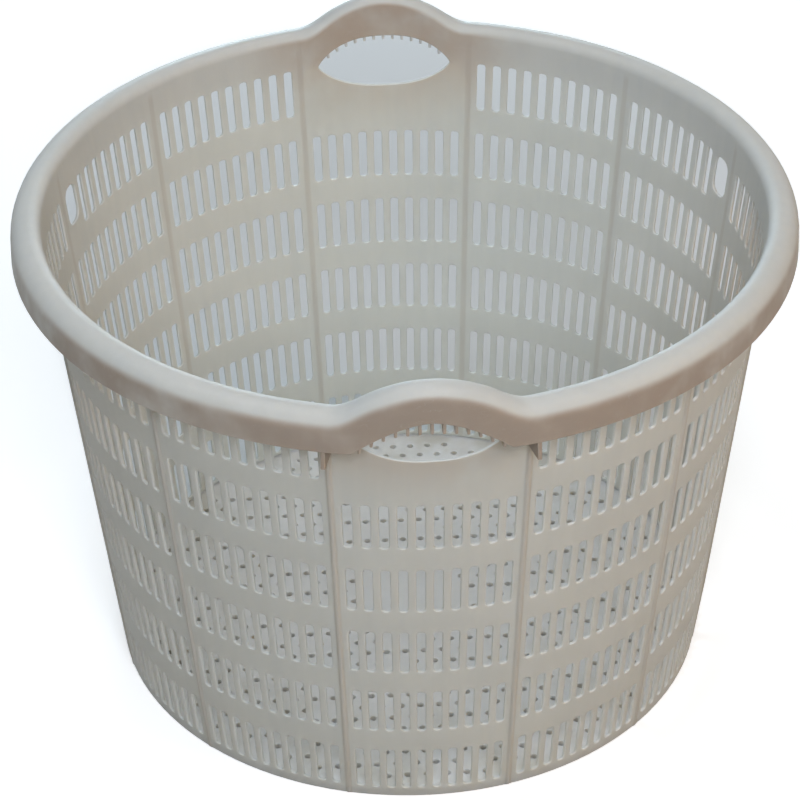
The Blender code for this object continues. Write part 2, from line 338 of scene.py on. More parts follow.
def skirt_outside(height):
    return RIM_RADIUS - SKIRT_LEAN * (height - SKIRT_BOTTOM)


def lip_rounds(top):
    """The inner and outer rounds, which shrink where the arch gets narrow."""
    room = skirt_outside(top) - wall_inside(top)
    fit = min(1, room / (INNER_ROUND + OUTER_ROUND))
    return INNER_ROUND * fit, OUTER_ROUND * fit


def leg_top(angle):
    """Where the straight wall ends and the lip's round begins."""
    top = crest(angle)
    return top - lip_rounds(top)[0]


def arc(centre, height, size, start, end, steps):
    turns = [radians(start + (end - start) * step / steps) for step in range(steps + 1)]
    return [(centre + size * cos(turn), height + size * sin(turn)) for turn in turns]


def lip_curve(top, depth):
    """The curve over the lip, a depth under its outer face, from the wall to the skirt."""
    inner, outer = lip_rounds(top)
    inner_centre = wall_inside(top - inner) + inner
    outer_centre = skirt_outside(top - outer) - outer
    curve = arc(inner_centre, top - inner, inner - depth, 180, 90, INNER_STEPS)
    return curve + arc(outer_centre, top - outer, outer - depth, 90, 0, OUTER_STEPS)


def lip_section(angle):
    """Radii and heights from the wall's inside over the lip, round the skirt's edge and back underneath."""
    top = crest(angle)
    low = skirt_edge(angle)
    round_off = SKIRT_EDGE_ROUND
    outside = skirt_outside(low)
    edge = [(0.0, round_off), (EASED * round_off, EASED * round_off), (round_off, 0.0)]
    edge = [(outside - inward, low + up) for inward, up in edge]
    far_edge = [(2 * outside - WALL - radius, height) for radius, height in reversed(edge)]
    under = [(max(radius, wall_outside(height) + rib_height(angle)), height)
             for radius, height in reversed(lip_curve(top, WALL))]
    return lip_curve(top, 0.0)[1:] + edge + far_edge + under[:-1]


lip_heights = [round(height, 3) for height in (skirt_edge(90), crest(90), crest(0))]
print("skirt's edge, lip's top and handle's top at", lip_heights)

# %% [markdown]
# ## The finger openings
# An opening is a lens with full, rounded ends, and like a slot it is a stack of rings. The wall around it
# is built in narrow columns, so that the arch above it stays smooth.

# %% The finger openings
EYE_LEVEL = SLOT_TOP
EYE_HALF = degrees(0.041 / wall_outside(EYE_LEVEL))
EYE_LIFT = 0.017
EYE_DROP = 0.015
EYE_CURVE = 2.5
EYE_FULLNESS = 0.8
EYE_EDGE = 0.0008
EYE_TIP = EYE_HALF + degrees(EYE_EDGE / wall_outside(EYE_LEVEL))
FINE_PER_SLOT = 6
FINE_PITCH = SLOT_PITCH / FINE_PER_SLOT
FINE_COLUMNS = FINE_PER_SLOT * SLOTS_ACROSS // 2
TIP_SHARES = (0.975, 0.992, 1.0)

# Shares of an edge's round at the points on either side of its middle
FAR_SIDE = 0.6
NEAR_SIDE = 0.08

# How much each ring widens the opening, and how deep under the outer face it lies
EYE_RINGS = (
    (EYE_EDGE, 0.0),
    (FAR_SIDE * EYE_EDGE, NEAR_SIDE * EYE_EDGE),
    (EASED * EYE_EDGE, EASED * EYE_EDGE),
    (NEAR_SIDE * EYE_EDGE, FAR_SIDE * EYE_EDGE),
    (0.0, EYE_EDGE),
    (0.0, WALL - EYE_EDGE),
    (NEAR_SIDE * EYE_EDGE, WALL - FAR_SIDE * EYE_EDGE),
    (EASED * EYE_EDGE, WALL - EASED * EYE_EDGE),
    (FAR_SIDE * EYE_EDGE, WALL - NEAR_SIDE * EYE_EDGE),
    (EYE_EDGE, WALL),
)

fine_steps = [step * FINE_PITCH for step in range(-FINE_COLUMNS, FINE_COLUMNS + 1)]
eye_columns = [angle for angle in fine_steps if abs(angle) < TIP_SHARES[0] * EYE_TIP]
eye_columns += [side * share * EYE_TIP for side in (-1, 1) for share in TIP_SHARES]
eye_columns.sort()
eye_shares = [angle / EYE_TIP for angle in eye_columns]
side_columns = [angle for angle in fine_steps if abs(angle) > EYE_TIP]
handle_columns = sorted(eye_columns + side_columns)


def eye_upper(angle):
    return EYE_LEVEL + EYE_LIFT * max(1 - (abs(angle) / EYE_HALF) ** EYE_CURVE, 0) ** EYE_FULLNESS


def eye_ring(skin, middle, grow, depth):
    """Points along the opening's lower edge from left to right, and back along its upper edge."""
    half = EYE_HALF + degrees(grow / wall_outside(EYE_LEVEL))
    lower = []
    upper = []
    for share in eye_shares:
        fullness = max(1 - abs(share) ** EYE_CURVE, 0) ** EYE_FULLNESS
        lower.append((share * half, EYE_LEVEL - (EYE_DROP + grow) * fullness))
        upper.append((share * half, EYE_LEVEL + (EYE_LIFT + grow) * fullness))
    points = []
    for angle, height in lower + upper[-2:0:-1]:
        points.append(skin.point(around(middle + angle, wall_outside(height) - depth, height)))
    return points


def eye_plate(skin, middle, face, ring):
    """The wall around a finger opening, from the hoop under it up to the lip."""
    count = len(eye_shares)
    lower = dict(zip(eye_columns, ring[:count]))
    upper = dict(zip(eye_columns, [ring[-place % len(ring)] for place in range(count)]))
    for left, right in zip(handle_columns, handle_columns[1:]):
        foot = [wall_point(skin, face, middle + angle, LEVELS[-1]) for angle in (left, right)]
        head = [wall_point(skin, face, middle + angle, leg_top(angle)) for angle in (right, left)]
        if left in lower and right in lower:
            patches = [foot + [lower[right], lower[left]], [upper[left], upper[right]] + head]
        elif right in lower:
            patches = [[foot[0], foot[1], lower[right], head[0], head[1]]]
        elif left in lower:
            patches = [foot + head + [lower[left]]]
        else:
            patches = [foot + head]
        for patch in patches:
            skin.face(patch if face == OUTER else patch[::-1])


def finger_opening(skin, middle):
    rings = [eye_ring(skin, middle, grow, depth) for grow, depth in EYE_RINGS]
    for first, second in zip(rings, rings[1:]):
        skin.band(first, second, closed=True)
    eye_plate(skin, middle, OUTER, rings[0])
    eye_plate(skin, middle, INNER, rings[-1])


print(len(handle_columns), "columns across each handle")

# %% [markdown]
# ## The shell
# Now the patches are put together. Four of the panels end in one wide, short slot in the top row. The
# plain strips carry the ribs, and a rounded foot closes the wall underneath.

# %% The shell
FRONT = 0
BACK = PANELS // 2
WIDE_ENDS = {2: 1, 4: -1}
WIDE_HEIGHT = 0.023
WIDE_CORNER = 0.0058
WIDE_CORNER_POINTS = 7
WIDE_CELLS = {1: (SLOTS_ACROSS - 2, SLOTS_ACROSS - 1), -1: (0, 1), 0: ()}
ANGLE_SLACK = 0.001


def upper_columns(number):
    if number in (FRONT, BACK):
        return [number * PANEL_ANGLE + angle for angle in handle_columns]
    return panel_columns(number)


def cell_edges(number, row, first, last):
    """Lower and upper edge points of the cells between two of a panel's columns, as angles and heights."""
    columns = panel_columns(number)[first:last + 1]
    low = [(angle, LEVELS[SLOT_ROWS - 1 - row]) for angle in columns]
    if row == 0:
        return low, [(angle, leg_top(angle)) for angle in columns]
    above = columns
    if row == 1 and number in (FRONT, BACK):
        first_angle = columns[0] - ANGLE_SLACK
        last_angle = columns[-1] + ANGLE_SLACK
        above = [angle for angle in upper_columns(number) if first_angle < angle < last_angle]
    return low, [(angle, LEVELS[SLOT_ROWS - row]) for angle in above]


def slotted_panel(skin, number):
    wide_end = WIDE_ENDS.get(number % BACK, 0)
    wide_cells = WIDE_CELLS[wide_end]
    under_handle = number in (FRONT, BACK)
    columns = panel_columns(number)
    for row in range(1 if under_handle else 0, SLOT_ROWS):
        top = slot_top(row)
        for cell in range(SLOTS_ACROSS):
            if row == 0 and cell in wide_cells:
                continue
            middle = (columns[cell] + columns[cell + 1]) / 2
            slot = Slot(middle, SLOT_HALF_ANGLE, top - SLOT_HEIGHT, top, SLOT_CORNER)
            pierce(skin, slot, *cell_edges(number, row, cell, cell + 1))
    if wide_end:
        first = wide_cells[0]
        slot = Slot(columns[first + 1], SLOT_PITCH / 2 + SLOT_HALF_ANGLE, SLOT_TOP - WIDE_HEIGHT, SLOT_TOP,
                    WIDE_CORNER, WIDE_CORNER_POINTS)
        pierce(skin, slot, *cell_edges(number, 0, first, first + 2))
    if under_handle:
        finger_opening(skin, number * PANEL_ANGLE)


def plain_strip(skin, number):
    """The strip with a rib that follows a panel."""
    columns = [panel_columns(number)[-1]] + rib_columns(number) + [panel_columns(number + 1)[0]]
    for left, right in zip(columns, columns[1:]):
        for face in (OUTER, INNER):
            sides = []
            for angle in (left, right):
                sides.append([wall_point(skin, face, angle, level) for level in LEVELS + [leg_top(angle)]])
            skin.band(*(sides if face == OUTER else sides[::-1]))


def sweep(skin, sections):
    for first, second in zip(sections, sections[1:] + sections[:1]):
        skin.band(first, second)


def rolled_lip(skin):
    sections = []
    for number in range(PANELS):
        for angle in upper_columns(number) + rib_columns(number):
            inside = wall_point(skin, INNER, angle, leg_top(angle))
            outside = wall_point(skin, OUTER, angle, leg_top(angle))
            between = [skin.point(around(angle, *place)) for place in lip_section(angle)]
            sections.append([inside] + between + [outside])
    sweep(skin, sections)


def rounded_foot(skin):
    sections = []
    for number in range(PANELS):
        for angle in panel_columns(number) + rib_columns(number):
            outside = wall_outside(FOOT_ROUND) + RIB_FOOT_SHARE * rib_height(angle)
            inside = wall_inside(FOOT_ROUND)
            eased = EASED * FOOT_ROUND
            places = [(outside - eased, eased), (outside - FOOT_ROUND, 0.0),
                      (inside + FOOT_ROUND, 0.0), (inside + eased, eased)]
            section = [wall_point(skin, OUTER, angle, FOOT_ROUND)]
            section += [skin.point(around(angle, *place)) for place in places]
            sections.append(section + [wall_point(skin, INNER, angle, FOOT_ROUND)])
    sweep(skin, sections)


def mould_shell():
    skin = Skin()
    for number in range(PANELS):
        slotted_panel(skin, number)
        plain_strip(skin, number)
    rolled_lip(skin)
    rounded_foot(skin)
    piece = make_piece("mould_shell", skin)
    numbers = [f"{number + 1:02d}" for number in range(PANELS)]
    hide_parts(*["wall_panel_" + number for number in numbers])
    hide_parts(*["outer_rib_" + number for number in numbers])
    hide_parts(*["wide_slot_frame_" + str(number + 1) for number in range(2 * len(WIDE_ENDS))])
    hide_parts("rim_left", "rim_right", "front_handle", "back_handle")
    return piece


shell = mould_shell()

# %% [markdown]
# ## The pierced floor
# Whey also leaves through round holes in the floor. They stand in staggered rows, and a disc in the
# middle, where the plastic was injected, is left plain. A flat plate with holes is quickest to fill with
# triangles: Blender's Delaunay function takes the outlines and finds the triangles between them. The ones
# inside a hole are left out, and each hole gets its own stack of rings.

# %% The pierced floor
FLOOR_THICKNESS = 0.004
DRAIN_RADIUS = 0.002
DRAIN_PITCH = 0.0112
DRAIN_ROW_PITCH = 0.010
DRAIN_REACH = 0.1637
PLAIN_RADIUS = 0.031
DRAIN_POINTS = 12
DRAIN_EDGE = 0.0004
PLATE_POINTS = 144
CORNER_FILLET = 0.0015
TUCK = 0.0006
ALL_TRIANGLES = 0
SAME_POINT = 1e-7

# How much each ring widens a hole, and its height
DRAIN_RINGS = (
    (DRAIN_EDGE, FLOOR_THICKNESS),
    (EASED * DRAIN_EDGE, FLOOR_THICKNESS - EASED * DRAIN_EDGE),
    (0.0, FLOOR_THICKNESS - DRAIN_EDGE),
    (0.0, DRAIN_EDGE),
    (EASED * DRAIN_EDGE, EASED * DRAIN_EDGE),
    (DRAIN_EDGE, 0.0),
)


def circle(centre_x, centre_y, radius, count):
    turns = [2 * pi * step / count for step in range(count)]
    return [(centre_x + radius * cos(turn), centre_y + radius * sin(turn)) for turn in turns]


def drain_places():
    """Middles of the holes. Every other row is shifted by half a pitch."""
    rows = range(-ceil(DRAIN_REACH / DRAIN_ROW_PITCH), ceil(DRAIN_REACH / DRAIN_ROW_PITCH) + 1)
    columns = range(-ceil(DRAIN_REACH / DRAIN_PITCH), ceil(DRAIN_REACH / DRAIN_PITCH) + 1)
    places = []
    for row in rows:
        shift = row % 2 / 2
        places += [((column + shift) * DRAIN_PITCH, row * DRAIN_ROW_PITCH) for column in columns]
    return [place for place in places if PLAIN_RADIUS < hypot(*place) <= DRAIN_REACH]


def plate_triangles(places, plate_radius):
    """Triangles of the plate between its rim and its holes. They count the points of these loops in turn."""
    loops = [circle(0, 0, plate_radius, PLATE_POINTS)]
    loops += [circle(*place, DRAIN_RADIUS + DRAIN_EDGE, DRAIN_POINTS) for place in places]
    flat = []
    edges = []
    loop_of = []
    for number, loop in enumerate(loops):
        start = len(flat)
        edges += [(start + step, start + (step + 1) % len(loop)) for step in range(len(loop))]
        flat += [Vector(point) for point in loop]
        loop_of += [number] * len(loop)
    _, _, triangles, origins, _, _ = delaunay_2d_cdt(flat, edges, [], ALL_TRIANGLES, SAME_POINT)
    back = [origin[0] for origin in origins]
    triangles = [[back[corner] for corner in triangle] for triangle in triangles]
    in_hole = [len({loop_of[corner] for corner in triangle}) == 1 and loop_of[triangle[0]] > 0
               for triangle in triangles]
    return [triangle for triangle, inside in zip(triangles, in_hole) if not inside]


def pierced_floor():
    skin = Skin()
    places = drain_places()
    inside = wall_inside(FLOOR_THICKNESS)
    triangles = plate_triangles(places, inside - CORNER_FILLET)
    rim = [(inside - CORNER_FILLET, FLOOR_THICKNESS),
           (inside - EASED * CORNER_FILLET, FLOOR_THICKNESS + EASED * CORNER_FILLET),
           (inside + TUCK, FLOOR_THICKNESS + CORNER_FILLET),
           (inside + TUCK, FOOT_ROUND),
           (inside - CORNER_FILLET, 0.0)]
    stacks = [[[(x, y, height) for x, y in circle(0, 0, radius, PLATE_POINTS)] for radius, height in rim]]
    for place in places:
        stacks.append([[(x, y, height) for x, y in circle(*place, DRAIN_RADIUS + grow, DRAIN_POINTS)]
                       for grow, height in DRAIN_RINGS])
    upper = []
    lower = []
    for stack in stacks:
        rings = [[skin.point(point) for point in ring] for ring in stack]
        for first, second in zip(rings, rings[1:]):
            skin.band(first, second, closed=True)
        upper += rings[0]
        lower += rings[-1]
    for triangle in triangles:
        skin.face([upper[corner] for corner in triangle])
        skin.face([lower[corner] for corner in reversed(triangle)])
    print(len(places), "drain holes")
    piece = make_piece("pierced_floor", skin)
    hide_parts("drain_floor")
    return piece


floor_plate = pierced_floor()

# %% [markdown]
# ## The combs under the handles
# Under each arch a row of thin teeth joins the wall to the skirt, so that a wet hand can lift a full
# mould. A deeper web closes the arch at either end. The teeth are upright plates that get thinner
# downwards, and a bevel rounds their edges. They reach into the lip's thickness, as plastic that was
# injected with it does.

# %% The combs under the handles
COMB_PITCH = degrees(0.0062 / RIM_RADIUS)
COMB_TOOTH = 0.0024
COMB_TIP = 0.0016
COMB_HANG = 0.003
TEETH_EACH_SIDE = 6
WEB = 0.0025
WEB_LOW = 0.258
WEB_ANGLE = 14.56
COMB_ROUND = 0.0005


def sideways(angle, radius, height, shift):
    x, y, z = around(angle, radius, height)
    return (x + shift * cos(radians(angle)), y + shift * sin(radians(angle)), z)


def upright_plate(skin, angle, outline, foot, head):
    """A radial plate with its outline as radii and heights, and its thickness at the foot and the head."""
    heights = [height for _, height in outline]
    sides = []
    for side in (-1, 1):
        half = [float(interp(height, (min(heights), max(heights)), (foot, head))) / 2 for height in heights]
        sides.append([skin.point(sideways(angle, radius, height, side * thick))
                      for (radius, height), thick in zip(outline, half)])
        skin.face(sides[-1])
    skin.band(*sides, closed=True)


def handle_comb(name, middle):
    skin = Skin()
    for tooth in range(-TEETH_EACH_SIDE, TEETH_EACH_SIDE + 1):
        angle = tooth * COMB_PITCH
        low = eye_upper(angle) - COMB_HANG
        outer_low = min(low, skirt_edge(angle) - COMB_HANG)
        outline = [(wall_inside(low) + WALL / 2, low)] + lip_curve(crest(angle), WALL / 2)
        outline += [(skirt_outside(outer_low) - WALL / 2, outer_low)]
        upright_plate(skin, middle + angle, outline, COMB_TIP, COMB_TOOTH)
    outline = [(wall_inside(WEB_LOW) + WALL / 2, WEB_LOW)] + lip_curve(crest(WEB_ANGLE), WALL / 2)
    outline += [(skirt_outside(WEB_LOW) - WALL / 2, WEB_LOW)]
    for side in (-1, 1):
        upright_plate(skin, middle + side * WEB_ANGLE, outline, WEB, WEB)
    piece = make_piece(name, skin)
    bevel = piece.modifiers.new("soft_edges", 'BEVEL')
    bevel.width = COMB_ROUND
    bevel.segments = 2
    piece.modifiers.move(len(piece.modifiers) - 1, 0)
    return piece


front_comb = handle_comb("front_comb", 0)
back_comb = handle_comb("back_comb", 180)

# %% [markdown]
# ## Tools for shader nodes
# A finish is a circuit of nodes. Wired by hand, each node takes several lines, so a few short helpers add
# a node, set its values and link what feeds it. A finish then reads much like a sentence about it.

# %% Tools for shader nodes
MIX_FIRST = 6
MIX_SECOND = 7
MIX_COLOUR = 2
COLOUR = 'NodeSocketColor'
VALUE = 'NodeSocketFloat'


def feed(tree, node, inputs):
    """Each input gets a value, or a link from the output of another node."""
    for name, value in inputs.items():
        if isinstance(value, bpy.types.NodeSocket):
            tree.links.new(value, node.inputs[name])
        else:
            node.inputs[name].default_value = value
    return node


def add(tree, kind, inputs=None, **settings):
    """Adds a node, sets it up and feeds it."""
    node = tree.nodes.new('ShaderNode' + kind)
    for name, value in settings.items():
        setattr(node, name, value)
    return feed(tree, node, inputs or {})


def maths(tree, operation, *values):
    return add(tree, 'Math', dict(enumerate(values)), operation=operation).outputs[0]


def mixed(tree, share, first, second):
    inputs = {0: share, MIX_FIRST: first, MIX_SECOND: second}
    return add(tree, 'Mix', inputs, data_type='RGBA').outputs[MIX_COLOUR]


def ramp(tree, value, none_at, full_at):
    """Eases from nothing to one between two values, in either order."""
    inputs = {"Value": value, "From Min": none_at, "From Max": full_at}
    return add(tree, 'MapRange', inputs, interpolation_type='SMOOTHSTEP').outputs[0]


def noise(tree, place, size, detail=2.0):
    """Soft blobs of about a size in metres, from nothing to one."""
    return add(tree, 'TexNoise', {"Vector": place, "Scale": 1 / size, "Detail": detail}).outputs[0]


def own_place(tree):
    """The point on the mould itself, in metres."""
    return add(tree, 'TexCoord').outputs["Object"]


def parts_of(tree, vector):
    return add(tree, 'SeparateXYZ', {0: vector}).outputs


def effect(name, inputs, outputs):
    """Starts a node group with named sockets, and gives its tree, its inputs and its outputs."""
    tree = bpy.data.node_groups.new(name, 'ShaderNodeTree')
    for label, value in inputs.items():
        kind = COLOUR if isinstance(value, tuple) else VALUE
        tree.interface.new_socket(label, in_out='INPUT', socket_type=kind).default_value = value
    for label, kind in outputs.items():
        tree.interface.new_socket(label, in_out='OUTPUT', socket_type=kind)
    given = tree.nodes.new('NodeGroupInput').outputs
    result = tree.nodes.new('NodeGroupOutput').inputs
    return tree, given, result


def use(tree, group, **values):
    """Places a node group in a material with its own values, and gives its outputs."""
    node = tree.nodes.new('ShaderNodeGroup')
    node.node_tree = group
    return feed(tree, node, {label.title(): value for label, value in values.items()}).outputs


# %% [markdown]
# ## Cloudy colour
# Natural polyethylene isn't one flat tint. It cools unevenly, and the melt leaves faint streaks where it
# flowed up the wall. The colour could be painted on, but a picture is tied to one unwrapped mesh. Two
# sizes of noise in the mould's own space do it for every piece, and the streaks are the same noise
# stretched upwards.

# %% Cloudy colour
CLOUD_SIZE = 0.045
STREAK_SIZE = 0.006
STREAK_STRETCH = 0.10
STREAK_SHARE = 0.4
CLOUD_DETAIL = 4.0
CLOUD_EASE = (0.3, 0.7)


def make_cloudy_colour():
    inputs = {"Colour": (0.6, 0.6, 0.58, 1.0), "Cloud": (0.66, 0.65, 0.61, 1.0), "Amount": 0.6}
    tree, given, result = effect("cloudy_colour", inputs, {"Colour": COLOUR})
    place = own_place(tree)
    flow = add(tree, 'Mapping', {"Vector": place, "Scale": (1.0, 1.0, STREAK_STRETCH)}).outputs[0]
    patches = ramp(tree, noise(tree, place, CLOUD_SIZE, CLOUD_DETAIL), *CLOUD_EASE)
    streaks = ramp(tree, noise(tree, flow, STREAK_SIZE), *CLOUD_EASE)
    patches = maths(tree, 'MULTIPLY', patches, 1.0 - STREAK_SHARE)
    share = maths(tree, 'MULTIPLY_ADD', streaks, STREAK_SHARE, patches)
    share = maths(tree, 'MULTIPLY', share, given["Amount"])
    tree.links.new(mixed(tree, share, given["Colour"], given["Cloud"]), result["Colour"])
    return tree


cloudy_colour = make_cloudy_colour()
print("node group", cloudy_colour.name)

# %% [markdown]
# ## Moulded grain
# The steel mould was finished with a fine spark grain, which the plastic copies, and thin walls warp a
# little as they cool. Both are far too small to model, so they are heights for a Bump node. The same
# waviness makes the surface shinier in some places than in others.

# %% Moulded grain
GRAIN_SIZE = 0.0011
WAVE_SIZE = 0.016
WAVE_SHARE = 0.55
WAVE_DETAIL = 3.0
NOISE_MIDDLE = 0.5


def make_moulded_grain():
    inputs = {"Roughness": 0.42, "Spread": 0.1}
    tree, given, result = effect("moulded_grain", inputs, {"Height": VALUE, "Roughness": VALUE})
    place = own_place(tree)
    grain = noise(tree, place, GRAIN_SIZE)
    waves = noise(tree, place, WAVE_SIZE, WAVE_DETAIL)
    grain = maths(tree, 'MULTIPLY', grain, 1.0 - WAVE_SHARE)
    tree.links.new(maths(tree, 'MULTIPLY_ADD', waves, WAVE_SHARE, grain), result["Height"])
    change = maths(tree, 'MULTIPLY', maths(tree, 'SUBTRACT', waves, NOISE_MIDDLE), given["Spread"])
    tree.links.new(maths(tree, 'ADD', change, given["Roughness"]), result["Roughness"])
    return tree


moulded_grain = make_moulded_grain()
print("node group", moulded_grain.name)

# %% [markdown]
# ## Scuffs, films and painted shade
# Stacking leaves fine scratches, and whey dries in the corner of wall and floor. That corner is also
# painted darker where shade falls, so its mask is partly whey and partly painted shade. The skirt's upright
# faces get a warm painted shade, strongest near the handles, and the upright faces near the tops of the
# handles a warm, darker tint. Each is a mask: a height, a side or a slope says where it may lie, and noise
# breaks it up. A scratch is the thin line where a stretched noise crosses its middle value. The ribs get a
# mask of painted shade too: it stands in for the light that thick plastic lets through less, and makes
# them darker and warmer than the thin wall beside it.

# %% Scuffs, films and painted shade
SCRATCH_SIZE = 0.02
SCRATCH_STRETCH = 4.0
SCRATCH_WIDTH = 0.006
SCRATCH_DETAIL = 4.0
SCRATCH_EASE = (0.45, 0.65)
PATCH_SIZE = 0.03
# Noise of the skirt's painted shade and the handles' tint, and where the painted skirt shade lies
SKIRT_PATCH_DETAIL = 3.0
SKIRT_PATCH_EASE = (0.1, 0.6)
SKIRT_SHADE_NEAR = (-0.05, 0.12)
SKIRT_SHADE_LEVEL = (0.261, 0.271)
UPRIGHT = (0.6, 0.15)
SKIRT_SIDE = (0.206, 0.214)
# Where the warm, darker tint near the tops of the handles lies
HANDLE_TINT_NEAR = (0.178, 0.205)
HANDLE_TINT_LEVEL = (0.215, 0.285)
# Noise and reach of the whey with painted shade in the corner of wall and floor
WHEY_AND_SHADE_DETAIL = 4.0
WHEY_AND_SHADE_EASE = (0.35, 0.75)
WHEY_AND_SHADE_SIDE = (0.06, 0.17)
# Where the ribs' painted shade lies
RIB_SIDE = (0.0024, 0.0011)
RIB_FACE = (-0.0006, 0.0)
RIB_TOP = (0.284, 0.278)
RIB_INSIDE = 0.6


def axis_distance(tree, place):
    flat = add(tree, 'VectorMath', {0: place, 1: (1.0, 1.0, 0.0)}, operation='MULTIPLY').outputs[0]
    return add(tree, 'VectorMath', {0: flat}, operation='LENGTH').outputs["Value"]


def make_scuffs():
    """Scratches between two heights."""
    inputs = {"Low": 0.0, "High": 0.3, "Amount": 0.5}
    tree, given, result = effect("stacking_scuffs", inputs, {"Mask": VALUE})
    place = own_place(tree)
    height = parts_of(tree, place)["Z"]
    stretch = (1.0, SCRATCH_STRETCH, SCRATCH_STRETCH)
    drawn = add(tree, 'Mapping', {"Vector": place, "Scale": stretch}).outputs[0]
    drawn = noise(tree, drawn, SCRATCH_SIZE, SCRATCH_DETAIL)
    crossing = maths(tree, 'ABSOLUTE', maths(tree, 'SUBTRACT', drawn, NOISE_MIDDLE))
    lines = ramp(tree, crossing, SCRATCH_WIDTH, 0.0)
    patches = ramp(tree, noise(tree, place, PATCH_SIZE), *SCRATCH_EASE)
    above = maths(tree, 'GREATER_THAN', height, given["Low"])
    below = maths(tree, 'LESS_THAN', height, given["High"])
    mask = maths(tree, 'MULTIPLY', maths(tree, 'MULTIPLY', lines, patches), given["Amount"])
    mask = maths(tree, 'MULTIPLY', mask, maths(tree, 'MULTIPLY', above, below))
    tree.links.new(mask, result["Mask"])
    return tree


def upright_faces(tree):
    return ramp(tree, parts_of(tree, add(tree, 'NewGeometry').outputs["Normal"])["Z"], *UPRIGHT)


def make_painted_skirt_shade():
    """Painted shade on the skirt's upright faces, strongest near the handles, and a warm, darker tint on the
    upright faces near the tops of the handles.
    """
    tree, given, result = effect("painted_skirt_shade", {"Amount": 1.0}, {"Skirt Shade": VALUE, "Handle Tint": VALUE})
    place = own_place(tree)
    parts = parts_of(tree, place)
    towards = maths(tree, 'ABSOLUTE', parts["Y"])
    patches = ramp(tree, noise(tree, place, PATCH_SIZE, SKIRT_PATCH_DETAIL), *SKIRT_PATCH_EASE)
    upright_patches = maths(tree, 'MULTIPLY', maths(tree, 'MULTIPLY', upright_faces(tree), patches), given["Amount"])
    # Painted shade on the skirt's upright faces
    shade_on_skirt = maths(tree, 'MULTIPLY', ramp(tree, towards, *SKIRT_SHADE_NEAR), ramp(tree, parts["Z"], *SKIRT_SHADE_LEVEL))
    shade_on_skirt = maths(tree, 'MULTIPLY', shade_on_skirt, ramp(tree, axis_distance(tree, place), *SKIRT_SIDE))
    # A warm, darker tint on the upright faces near the tops of the handles
    handle_tint = maths(tree, 'MULTIPLY', ramp(tree, towards, *HANDLE_TINT_NEAR), ramp(tree, parts["Z"], *HANDLE_TINT_LEVEL))
    tree.links.new(maths(tree, 'MULTIPLY', shade_on_skirt, upright_patches), result["Skirt Shade"])
    tree.links.new(maths(tree, 'MULTIPLY', handle_tint, upright_patches), result["Handle Tint"])
    return tree


def make_whey_and_corner_shade():
    """Whey left to dry in the corner of wall and floor, and painted shade there, both thickest in the corner
    and gone at a height.
    """
    tree, given, result = effect("whey_and_corner_shade", {"Top": 0.05, "Amount": 0.5}, {"Mask": VALUE})
    place = own_place(tree)
    # Whey and painted shade, darker towards the corner of wall and floor
    low = ramp(tree, parts_of(tree, place)["Z"], given["Top"], 0.0)
    low = maths(tree, 'MULTIPLY', low, ramp(tree, axis_distance(tree, place), *WHEY_AND_SHADE_SIDE))
    patches = ramp(tree, noise(tree, place, PATCH_SIZE, WHEY_AND_SHADE_DETAIL), *WHEY_AND_SHADE_EASE)
    mask = maths(tree, 'MULTIPLY', maths(tree, 'MULTIPLY', low, patches), given["Amount"])
    tree.links.new(mask, result["Mask"])
    return tree


def make_rib_shade_mask():
    """Painted shade, full on the ribs' own faces, a share of it on the inner face behind them, and nothing
    elsewhere.
    """
    tree, given, result = effect("rib_shade_mask", {"Amount": 1.0}, {"Mask": VALUE})
    place = own_place(tree)
    parts = parts_of(tree, place)
    radius = axis_distance(tree, place)
    panels = maths(tree, 'MULTIPLY', maths(tree, 'ARCTAN2', parts["X"], parts["Y"]), PANELS / (2 * pi))
    turn = maths(tree, 'ABSOLUTE', maths(tree, 'SUBTRACT', maths(tree, 'FRACT', panels), 0.5))
    across = maths(tree, 'MULTIPLY', maths(tree, 'MULTIPLY', turn, radius), 2 * pi / PANELS)
    wall = maths(tree, 'MULTIPLY_ADD', parts["Z"], (MOUTH_RADIUS - BASE_RADIUS) / RIM_HEIGHT, BASE_RADIUS)
    proud = maths(tree, 'SUBTRACT', radius, wall)
    face = maths(tree, 'MULTIPLY_ADD', ramp(tree, proud, *RIB_FACE), 1.0 - RIB_INSIDE, RIB_INSIDE)
    mask = maths(tree, 'MULTIPLY', face, ramp(tree, parts["Z"], *RIB_TOP))
    mask = maths(tree, 'MULTIPLY', mask, ramp(tree, across, *RIB_SIDE))
    tree.links.new(maths(tree, 'MULTIPLY', mask, given["Amount"]), result["Mask"])
    return tree


scuffs = make_scuffs()
painted_skirt_shade = make_painted_skirt_shade()
whey_and_corner_shade = make_whey_and_corner_shade()
rib_shade_mask = make_rib_shade_mask()
print("node groups", scuffs.name, painted_skirt_shade.name, whey_and_corner_shade.name, rib_shade_mask.name)

# %% [markdown]
# ## Milky plastic
# Light enters cloudy plastic, scatters and comes out elsewhere, so the thin slotted wall glows with the
# light that falls inside, while the skirt, with a dark channel behind it, looks duller, and painted shade
# darkens it further. Glass-like transmission would be too clear. Subsurface scattering gives the glow, and
# its distance is between two and three walls. The wall, the floor and the combs are one plastic with three
# colours: the floor plate is paler, which is painted light, and the front comb is dark brown, which is
# painted shade. The back comb is as pale as the floor, which is painted light too.

# %% Milky plastic
SCATTER = 0.005
SCATTER_COLOURS = (1.0, 0.95, 0.85)
WALL_COLOUR = (0.595, 0.600, 0.570, 1.0)
WALL_CLOUD = (0.650, 0.645, 0.600, 1.0)
# The floor plate's paler colour is painted light
LIT_FLOOR_COLOUR = (0.77, 0.755, 0.72, 1.0)
LIT_FLOOR_CLOUD = (0.72, 0.705, 0.67, 1.0)
